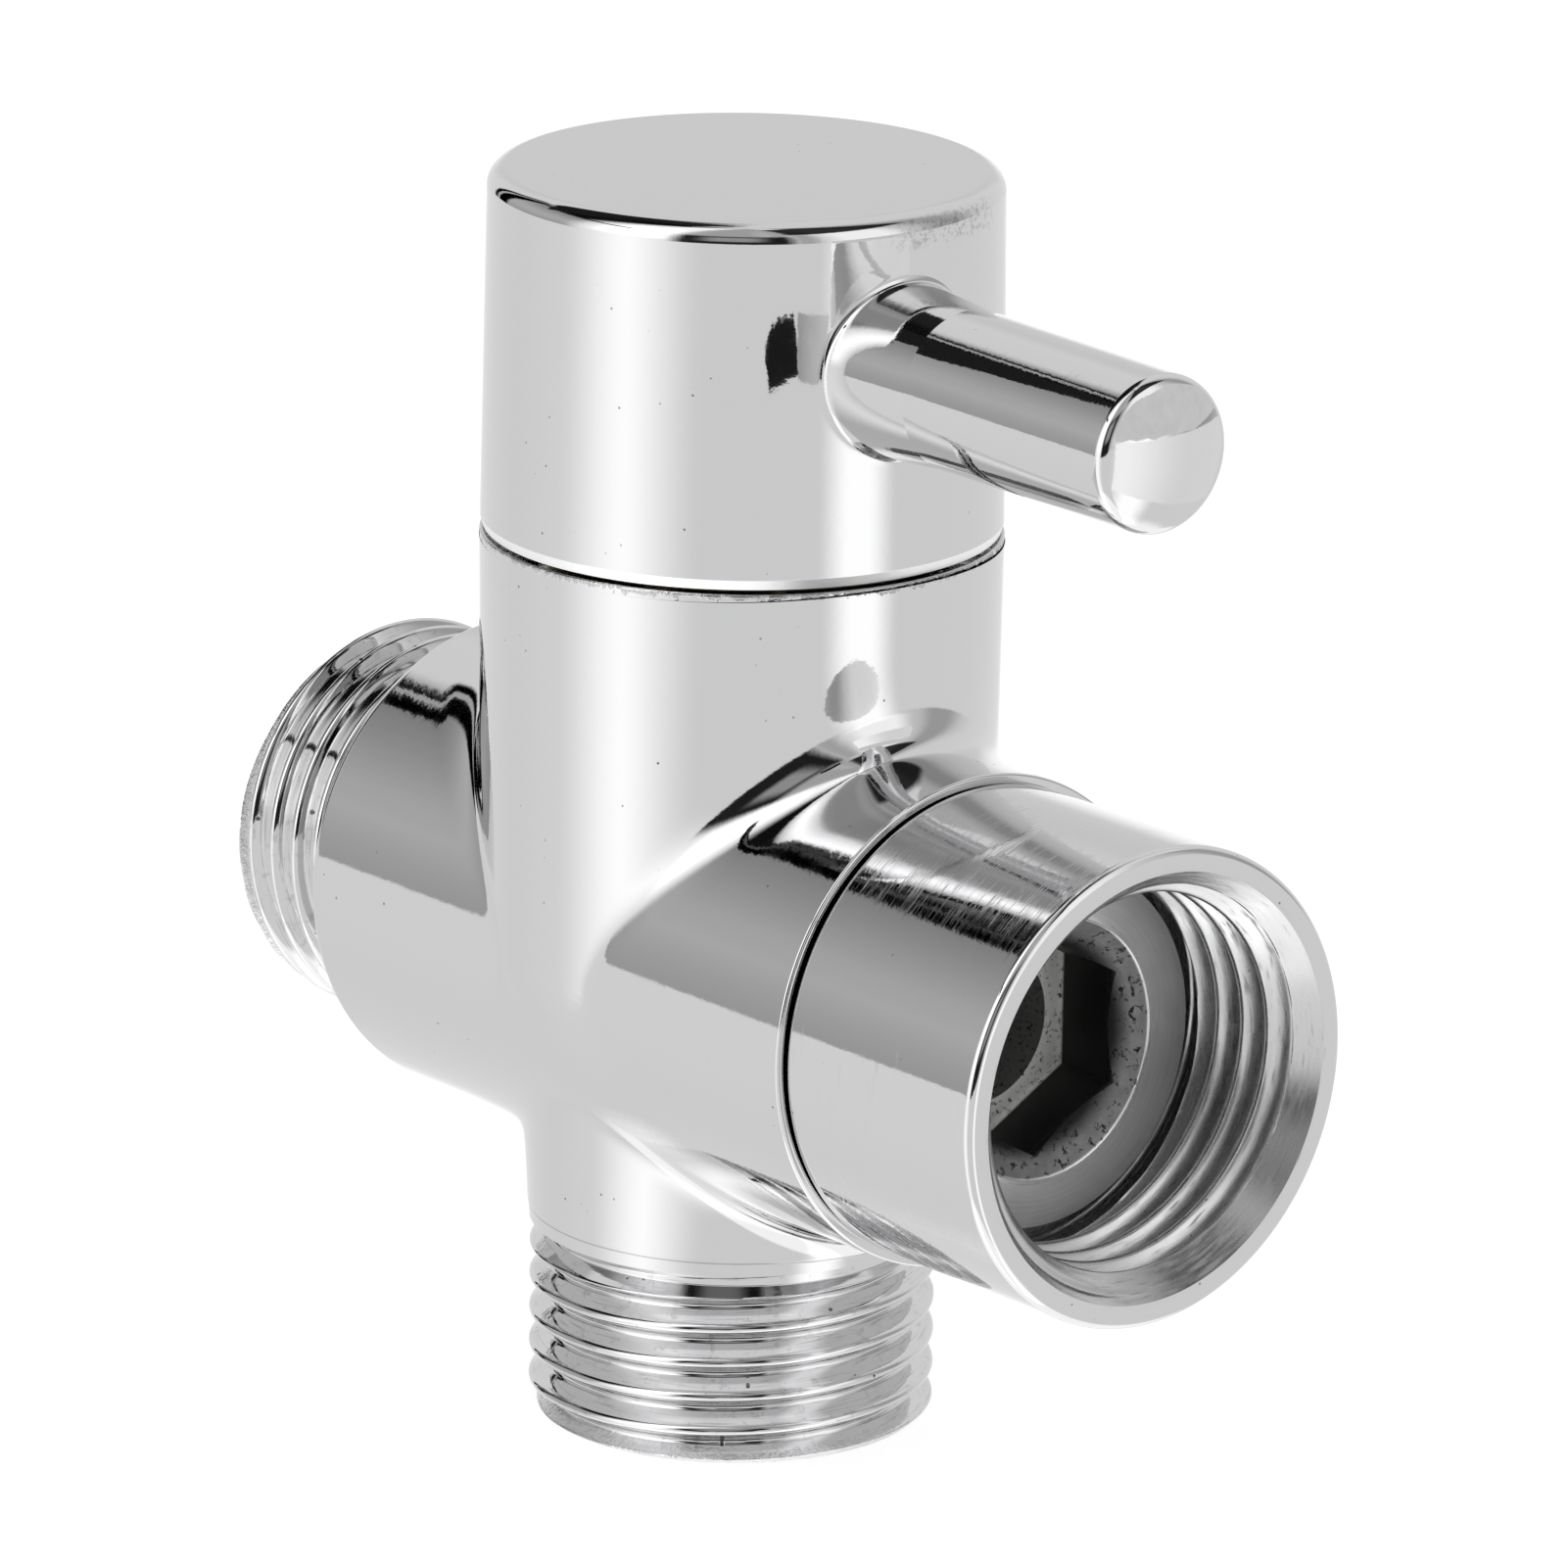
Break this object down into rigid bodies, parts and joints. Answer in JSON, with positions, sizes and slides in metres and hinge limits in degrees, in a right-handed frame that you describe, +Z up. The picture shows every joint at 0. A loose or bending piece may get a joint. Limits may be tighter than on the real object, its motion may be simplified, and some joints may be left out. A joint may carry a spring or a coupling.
{
  "type": "shower diverter valve",
  "caption": "Chromed three-way diverter valve: swivel nut inlet, male outlets opposite and below, and a cylindrical knob with a straight lever.",
  "frame": {"origin": "centre of the hose outlet's end face, on the knob's axis", "axes": "+Z up along the knob's axis, +X along the flow axis towards the inlet nut, head outlet towards -X"},
  "size_m": [0.0626, 0.0264, 0.0649],
  "materials": {
    "chromed_casting": "polished",
    "chromed_nut": "polished",
    "chromed_knob": "polished",
    "turned_brass": "turned",
    "steel": "satin",
    "rubber": "matt",
    "fibre": "matt",
    "rotor_plastic": "matt",
    "ceramic": "lapped"
  },
  "bodies": {
    "housing": {"valve_body": "chromed_casting", "inlet_nipple": "turned_brass", "inlet_gasket": "rubber", "bonnet": "turned_brass", "bonnet_gasket": "fibre", "seat_gasket": "rubber", "fixed_disc": "ceramic", "port_seat": "rotor_plastic", "port_ring": "rubber"},
    "handle": {"knob": "chromed_knob", "grub_screw": "steel", "stem": "turned_brass", "stem_ring_lower": "rubber", "stem_ring_upper": "rubber", "thrust_washer": "rotor_plastic", "stop_washer": "turned_brass", "stem_clip": "steel", "rotor": "rotor_plastic", "turning_disc": "ceramic"},
    "nut": {"swivel_nut": "chromed_nut"}
  },
  "joints": [
    {"name": "knob_turn", "type": "hinge", "parent": "housing", "child": "handle", "pos_m": [0, 0, 0.0643], "axis": [0, 0, 1], "range_deg": [-87.4, 2.6]},
    {"name": "nut_spin", "type": "hinge", "parent": "housing", "child": "nut", "pos_m": [0.0196, 0, 0.0249], "axis": [1, 0, 0], "continuous": true}
  ]
}
